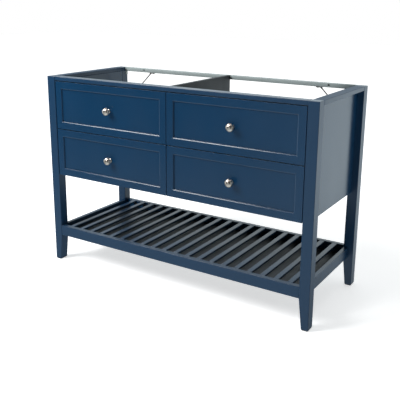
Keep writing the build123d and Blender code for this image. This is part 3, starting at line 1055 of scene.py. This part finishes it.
class VANITY_OT_add_knobs(bpy.types.Operator):
    """Turns the knobs and builds the screws that hold them"""

    bl_idname = "vanity.add_knobs"
    bl_label = "Add Knobs"

    def execute(self, context):
        sizes = context.scene.vanity_metal
        for drawer in DRAWERS:
            self.add_knob(f"{drawer}_knob", sizes)
            self.add_screw(f"{drawer}_knob_screw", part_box(f"{drawer}_front")[1].y)
        return {"FINISHED"}

    def quarter_turn(self, steps, first=0):
        """The sine and cosine of each step of a quarter turn."""
        angles = [step / steps * math.pi / 2 for step in range(first, steps + 1)]
        return [(math.sin(angle), math.cos(angle)) for angle in angles]

    def knob_profile(self, radius, reach, sizes):
        """Half of a knob's outline, from the middle of its foot to the top of its dome."""
        foot, neck = sizes.knob_foot, sizes.knob_neck
        foot_height, foot_soft, flare = 0.002, 0.0006, 0.005
        cone, rim_inset, rim_lift = 0.0035, 0.0008, 0.0007
        rim_top = reach - sizes.knob_dome
        rim_low = rim_top - sizes.knob_rim
        foot_top = foot_height - foot_soft
        profile = [(0, 0), (foot - foot_soft, 0), (foot, foot_soft), (foot, foot_top)]
        for sine, cosine in self.quarter_turn(CURVE_STEPS):
            profile.append((foot - (foot - neck) * sine, foot_height + flare * (1 - cosine)))
        profile.append((neck, rim_low - cone))
        for sine, cosine in self.quarter_turn(CURVE_STEPS, first=1):
            out = neck + (radius - rim_inset - neck) * (1 - cosine)
            profile.append((out, rim_low - cone * (1 - sine)))
        profile.append((radius, rim_low + rim_lift))
        for sine, cosine in self.quarter_turn(DOME_STEPS):
            profile.append((radius * cosine, rim_top + sizes.knob_dome * sine))
        return profile

    def add_knob(self, node, sizes):
        """A mushroom knob: foot, hollow flare, neck, cone, rim and dome, spun about its axis."""
        low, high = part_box(node)
        base = Vector(((low.x + high.x) / 2, high.y, (low.z + high.z) / 2))
        profile = self.knob_profile((high.x - low.x) / 2, high.y - low.y, sizes)
        bm = bmesh.new()
        points = [bm.verts.new(base + Vector((out, -up, 0))) for out, up in profile]
        edges = [bm.edges.new(pair) for pair in zip(points, points[1:])]
        bmesh.ops.spin(
            bm,
            geom=points + edges,
            cent=base,
            axis=(0, 1, 0),
            angle=math.tau,
            steps=SPIN_STEPS,
            use_merge=True,
        )
        bmesh.ops.remove_doubles(bm, verts=bm.verts, dist=NEAR / 2)
        add_piece(bm, node, ["satin_nickel_turned"])

    def add_screw(self, node, seat):
        """The machine screw behind a front: a pan head, and a shank through the front."""
        shank_share = 0.44
        low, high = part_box(node)
        radius = (high.x - low.x) / 2
        x, z = (low.x + high.x) / 2, (low.z + high.z) / 2
        bm = bmesh.new()
        add_pan_head(bm, (x, seat, z), (0, 1, 0), radius, high.y - seat)
        add_rod(bm, (x, seat, z), (x, low.y, z), radius * shank_share)
        add_piece(bm, node, ["bright_zinc_screw"])


class VANITY_OT_add_slides(bpy.types.Operator):
    """Builds the three nested channels of each ball-bearing slide"""

    bl_idname = "vanity.add_slides"
    bl_label = "Add Slides"

    def execute(self, context):
        sizes = context.scene.vanity_metal
        self.add_channels("slide_outer_members", TO_WALL, sizes)
        for drawer in DRAWERS:
            self.add_channels(f"{drawer}_slide_middles", TO_WALL, sizes)
            self.add_channels(f"{drawer}_slide_inners", TO_BOX, sizes)
        return {"FINISHED"}

    def islands(self, node):
        """The boxes of the separate channels in a node, each as (low, high)."""
        copy = bmesh.new()
        copy.from_mesh(frame["nodes"][node].data)
        bmesh.ops.remove_doubles(copy, verts=copy.verts, dist=MERGE_DISTANCE)
        boxes, seen = [], set()
        for start in copy.verts:
            if start in seen:
                continue
            seen.add(start)
            group = [start]
            for vert in group:
                others = [edge.other_vert(vert) for edge in vert.link_edges]
                fresh = [other for other in others if other not in seen]
                seen.update(fresh)
                group.extend(fresh)
            low = Vector([min(vert.co[axis] for vert in group) for axis in (X, Y, Z)])
            high = Vector([max(vert.co[axis] for vert in group) for axis in (X, Y, Z)])
            boxes.append((low, high))
        copy.free()
        return boxes

    def way_to_wall(self, low, high):
        """Which way from a channel the nearest wall of the case lies."""
        middle = (low.x + high.x) / 2
        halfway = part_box("right_side_panel")[0].x / 2
        return math.copysign(1, abs(middle) - halfway) * math.copysign(1, middle)

    def add_channels(self, node, web_towards, sizes):
        """The channels of a node, each a folded strip with its web towards the wall or the box."""
        bm = bmesh.new()
        half_sheet = sizes.slide_sheet / 2
        for low, high in self.islands(node):
            side = web_towards * self.way_to_wall(low, high)
            web = high.x - half_sheet if side > 0 else low.x + half_sheet
            lip = low.x if side > 0 else high.x
            top, foot = high.z - half_sheet, low.z + half_sheet
            corners = ((lip, top), (web, top), (web, foot), (lip, foot))
            outline = [(x, low.y, z) for x, z in corners]
            add_folded_sheet(bm, outline, (0, high.y - low.y, 0), sizes.slide_fold)
        add_piece(bm, node, ["black_slide_steel"], sheet=sizes.slide_sheet)


class VANITY_OT_add_steelwork(bpy.types.Operator):
    """Builds the rear steel rail, its end plates, the corner braces and their screws"""

    bl_idname = "vanity.add_steelwork"
    bl_label = "Add Steelwork"

    def execute(self, context):
        sizes = context.scene.vanity_metal
        self.add_rail(sizes)
        self.add_end_plates(sizes)
        for side, sign in SIDES:
            self.add_brace(f"{side}_corner_brace", sign, sizes)
        self.add_screws(sizes)
        return {"FINISHED"}

    def add_rail(self, sizes):
        """The box section, folded from sheet, with a hole near each end through both walls."""
        low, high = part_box("rear_top_rail")
        half = sizes.rail_sheet / 2
        start, end = low.x + sizes.end_plate, high.x - sizes.end_plate
        near, far = low.y + half, high.y - half
        top, foot = high.z - half, high.z - sizes.rail_height + half
        outline = [(start, near, foot), (start, near, top), (start, far, top), (start, far, foot)]
        bm = bmesh.new()
        add_folded_sheet(bm, outline, (end - start, 0, 0), sizes.rail_fold, closed=True)
        reach = WALL_FIXING["dims"]["spacing_x_mm"] / 2 * MM
        radius = WALL_FIXING["dims"]["hole_r_mm"] * MM
        height = WALL_FIXING["pos_m"][Z]
        for x in (-reach, reach):
            self.punch_hole(bm, Vector((x, near, height)), radius)
            self.punch_hole(bm, Vector((x, far, height)), radius * sizes.far_hole)
        add_piece(bm, "rear_top_rail", ["grey_powder_coat"], sheet=sizes.rail_sheet)

    def nearest_face(self, bm, place):
        """The face whose middle is nearest to a place."""
        return min(bm.faces, key=lambda face: (face.calc_center_median() - place).length)

    def punch_hole(self, bm, centre, radius):
        """Cuts a round hole in the flat wall around a point."""
        room, border, cuts_per_side = 1.5 * radius, 0.2 * radius, 5
        for offset in (-room, room):
            cut_across(bm, centre + Vector((offset, 0, 0)), (1, 0, 0))
        wall = self.nearest_face(bm, centre)
        bmesh.ops.inset_region(bm, faces=[wall], thickness=border, depth=0)
        bmesh.ops.subdivide_edges(bm, edges=list(wall.edges), cuts=cuts_per_side)
        wall = self.nearest_face(bm, centre)
        for vert in wall.verts:
            vert.co = centre + (vert.co - centre).normalized() * radius
        bmesh.ops.delete(bm, geom=[wall], context="FACES_ONLY")

    def add_end_plates(self, sizes):
        """The two plates welded to the rail's ends and screwed to the rear legs."""
        low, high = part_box("rear_top_rail")
        bm = bmesh.new()
        add_block(bm, low, (low.x + sizes.end_plate, high.y, high.z))
        add_block(bm, (high.x - sizes.end_plate, low.y, low.z), high)
        finishes = ["grey_powder_coat"]
        add_piece(bm, "rear_top_rail", finishes, PLATE_ROUNDING, suffix="end_plates")

    def add_tab(self, bm, low, high, axis):
        """A flat tab between two corners, thin along an axis, its own corners rounded."""
        corner_radius = 0.004
        tab = bmesh.new()
        add_block(tab, low, high)
        short_edges = []
        for edge in tab.edges:
            way = (edge.verts[0].co - edge.verts[1].co).normalized()
            if abs(way[axis]) > ALIGNED:
                short_edges.append(edge)
        round_edges(tab, short_edges, corner_radius, segments=4)
        merge(bm, tab)

    def add_brace(self, node, sign, sizes):
        """A rod at an angle between two flat tabs with rounded corners."""
        sunk_share, weld_length, weld_share = 0.7, 0.006, 1.35
        low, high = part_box(node)
        tab, length = sizes.tab_thickness, sizes.tab_length
        wall, far = (high.x, low.x) if sign > 0 else (low.x, high.x)
        middle = (low.y + high.y) / 2
        bm = bmesh.new()
        start, end = sorted((far, far + sign * length))
        self.add_tab(bm, (start, low.y, high.z - tab), (end, high.y, high.z), Z)
        start, end = sorted((wall - sign * tab, wall))
        self.add_tab(bm, (start, low.y, low.z), (end, high.y, low.z + length), X)
        sunk = tab * sunk_share
        bend = length - sizes.tab_end
        top = Vector((far + sign * (bend + sunk), middle, high.z - sunk))
        foot = Vector((wall - sign * sunk, middle, low.z + bend + sunk))
        add_rod(bm, top, foot, sizes.rod_radius)
        run = (foot - top).normalized() * weld_length
        for start, end in ((top, top + run), (foot, foot - run)):
            add_rod(bm, start, end, sizes.rod_radius * weld_share)
        add_piece(bm, node, ["dull_brace_steel"], BRACE_ROUNDING, segments=2)

    def add_screws(self, sizes):
        """The pan-head screws through the end plates and the tabs, and their shanks."""
        plates_low, plates_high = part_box("rear_top_rail")
        brace_low, brace_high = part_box("right_corner_brace")
        screws_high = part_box("bracket_screws")[1]
        shank, tip_gap, top_gap = 0.42 * sizes.head_radius, 0.001, 0.0002
        middle = (plates_low.y + plates_high.y) / 2
        tab_screw = sizes.tab_length - sizes.tab_end - sizes.screw_to_rod
        plate_x, plate_z = plates_high.x - sizes.end_plate, plates_low.z + sizes.plate_screw_up
        tab_x, tab_z = brace_high.x - sizes.tab_thickness, brace_low.z + tab_screw
        under_x, under_z = brace_low.x + tab_screw, brace_high.z - sizes.tab_thickness
        bm = bmesh.new()
        for _, sign in SIDES:
            for x, z in ((plate_x, plate_z), (tab_x, tab_z)):
                seat = (sign * x, middle, z)
                tip = (sign * (screws_high.x - tip_gap), middle, z)
                add_pan_head(bm, seat, (-sign, 0, 0), sizes.head_radius, sizes.head_height)
                add_rod(bm, seat, tip, shank)
            seat = (sign * under_x, middle, under_z)
            tip = (sign * under_x, middle, screws_high.z - top_gap)
            add_pan_head(bm, seat, (0, 0, -1), sizes.head_radius, sizes.head_height)
            add_rod(bm, seat, tip, shank)
        add_piece(bm, "bracket_screws", ["bright_zinc_screw"])


# Each softbox: where it stands, where it points and its two sides.
OVERHEAD_BOX = ((0.3, 0.2, 3.2), (0, 0, 0.4), (3.4, 2.6))
FRONT_BOX = ((-1.75, -2.0, 2.7), (-0.1, 0, 0.45), (1.6, 1.6))

# Each soft patch of the backdrop: its direction, how it fades in with nearness to that direction,
# and its brightness. They are in front, on the left and on the right.
BACKDROP_PATCHES = (
    ((-0.15, -0.98, -0.05), (0.92, 0.97), 0.45),
    ((-0.98, -0.05, 0.0), (0.88, 0.97), 1.5),
    ((0.95, -0.25, 0.15), (0.86, 0.97), 0.6),
)
BACKDROP_TINT = (0.89, 1.0, 1.03, 1)
WHITE = (1, 1, 1, 1)


class VANITY_OT_add_stage(bpy.types.Operator):
    """Sets up the plain floor, the soft lights and the camera"""

    bl_idname = "vanity.add_stage"
    bl_label = "Add Stage"

    def execute(self, context):
        settings = context.scene.vanity_stage
        self.add_floor(settings)
        self.light_backdrop(context.scene, settings)
        self.add_softbox("overhead", settings.overhead, *OVERHEAD_BOX)
        self.add_softbox("front_left", settings.key, *FRONT_BOX)
        self.add_camera(context.scene, settings)
        context.scene.view_settings.view_transform = "Standard"
        return {"FINISHED"}

    def add_floor(self, settings):
        """A wide plain floor that glows a little, so that it stays pale far from the lights."""
        half_width, glow_start, glow_end = 14, 0.8, 2.2
        bm = bmesh.new()
        bmesh.ops.create_grid(bm, x_segments=1, y_segments=1, size=half_width)
        mesh = bpy.data.meshes.new("floor")
        bm.to_mesh(mesh)
        bm.free()
        floor = bpy.data.objects.new("floor", mesh)
        bpy.context.scene.collection.objects.link(floor)
        surface = Surface("pale_floor")
        surface.tint(opaque(settings.floor_colour), scale=0.8, amount=0.03)
        reach = surface.add("ShaderNodeVectorMath", {0: surface.place}, operation="LENGTH")
        glow = surface.remap(
            reach.outputs["Value"], glow_start, glow_end, settings.floor_glow, 1.0
        )
        surface.feed("Emission Strength", glow)
        surface.sockets["Emission Color"].default_value = WHITE
        surface.sockets["Roughness"].default_value = 0.9
        mesh.materials.append(surface.material)
        floor.visible_glossy = False

    def light_backdrop(self, scene, settings):
        """A backdrop that is bright behind the cabinet, dim in front, and white to the camera."""
        world = bpy.data.worlds.new("studio")
        world.use_nodes = True
        scene.world = world
        wiring = Wiring(world.node_tree)
        world.node_tree.nodes.clear()
        way = wiring.add("ShaderNodeTexCoord").outputs["Generated"]
        parts = wiring.add("ShaderNodeSeparateXYZ", {"Vector": way}).outputs
        back = self.back_light(wiring, parts)
        strength = wiring.maths("MULTIPLY", back, settings.backdrop)
        for direction, fade, brightness in BACKDROP_PATCHES:
            nearness = wiring.add(
                "ShaderNodeVectorMath", {0: way, 1: direction}, operation="DOT_PRODUCT"
            )
            patch = wiring.remap(nearness.outputs["Value"], *fade, 0.0, brightness)
            strength = wiring.maths("ADD", strength, patch)
        strength = wiring.maths("ADD", strength, self.floor_light(wiring, parts))
        lit = wiring.add("ShaderNodeBackground", {"Color": BACKDROP_TINT, "Strength": strength})
        white = wiring.add("ShaderNodeBackground", {"Color": WHITE, "Strength": 1.0})
        seen = wiring.add("ShaderNodeLightPath").outputs["Is Camera Ray"]
        either = wiring.add(
            "ShaderNodeMixShader", {0: seen, 1: lit.outputs[0], 2: white.outputs[0]}
        )
        wiring.add("ShaderNodeOutputWorld", {"Surface": either.outputs[0]})

    def back_light(self, wiring, parts):
        """How bright the backdrop is behind the cabinet: dimmer low down and high up."""
        behind = wiring.remap(parts["Y"], 0.35, 0.85, 0.0, 1.0)
        below = wiring.remap(parts["Z"], -0.46, -0.27, 0.20, 1.0)
        above = wiring.remap(parts["Z"], 0.35, 0.85, 1.0, 0.55)
        return wiring.maths("MULTIPLY", wiring.maths("MULTIPLY", behind, below), above)

    def floor_light(self, wiring, parts):
        """What stands in for the floor in reflections: bright straight below and low in front."""
        floor_below = wiring.remap(parts["Z"], -0.78, -0.52, 0.9, 0.0)
        low = wiring.remap(parts["Z"], -0.38, -0.17, 0.6, 0.0)
        ahead = wiring.remap(parts["Y"], -0.45, 0.0, 1.0, 0.0)
        return wiring.maths("MAXIMUM", floor_below, wiring.maths("MULTIPLY", low, ahead))

    def add_softbox(self, name, power, place, target, size):
        """A rectangular area light that looks at a target."""
        light = bpy.data.lights.new(name, "AREA")
        light.shape = "RECTANGLE"
        light.size, light.size_y = size
        light.energy = power
        lamp = bpy.data.objects.new(name, light)
        lamp.location = place
        way = Vector(target) - Vector(place)
        lamp.rotation_euler = way.to_track_quat("-Z", "Y").to_euler()
        bpy.context.scene.collection.objects.link(lamp)

    def add_camera(self, scene, settings):
        """The camera, with a small shift."""
        camera = bpy.data.cameras.new("camera")
        camera.lens = settings.lens
        camera.sensor_width = SENSOR_WIDTH
        camera.shift_y = settings.shift
        holder = bpy.data.objects.new("camera", camera)
        turn = Matrix.Rotation(settings.camera_turn, 4, "Z")
        tilt = Matrix.Rotation(math.pi / 2 - settings.camera_tilt, 4, "X")
        roll = Matrix.Rotation(settings.camera_roll, 4, "Z")
        holder.matrix_world = Matrix.Translation(settings.camera_place) @ turn @ tilt @ roll
        scene.collection.objects.link(holder)
        scene.camera = holder


BUILD_STEPS = (
    VANITY_OT_add_legs,
    VANITY_OT_add_case,
    VANITY_OT_add_shelf,
    VANITY_OT_add_drawer_fronts,
    VANITY_OT_add_drawer_boxes,
    VANITY_OT_add_knobs,
    VANITY_OT_add_slides,
    VANITY_OT_add_steelwork,
    VANITY_OT_add_stage,
)

SETTINGS = {
    "vanity_finish": VanityFinishSettings,
    "vanity_joinery": VanityJoinerySettings,
    "vanity_metal": VanityMetalSettings,
    "vanity_stage": VanityStageSettings,
}


class VANITY_PT_panel(bpy.types.Panel):
    """Lists the steps of the build and the sizes that they use"""

    bl_idname = "VANITY_PT_panel"
    bl_label = "Vanity Cabinet"
    bl_space_type = "VIEW_3D"
    bl_region_type = "UI"
    bl_category = "Vanity"

    def draw(self, context):
        for step in BUILD_STEPS:
            self.layout.operator(step.bl_idname)
        for name, group in SETTINGS.items():
            column = self.layout.column()
            for setting in group.__annotations__:
                column.prop(getattr(context.scene, name), setting)


def register():
    for group in (*SETTINGS.values(), *BUILD_STEPS, VANITY_PT_panel):
        bpy.utils.register_class(group)
    for name, group in SETTINGS.items():
        setattr(bpy.types.Scene, name, bpy.props.PointerProperty(type=group))


def unregister():
    for name in SETTINGS:
        delattr(bpy.types.Scene, name)
    for group in reversed((*SETTINGS.values(), *BUILD_STEPS, VANITY_PT_panel)):
        bpy.utils.unregister_class(group)


def main():
    """Builds the cabinet and its stage."""
    register()
    for step in BUILD_STEPS:
        family, action = step.bl_idname.split(".")
        getattr(getattr(bpy.ops, family), action)()


if __name__ == "__main__":
    main()
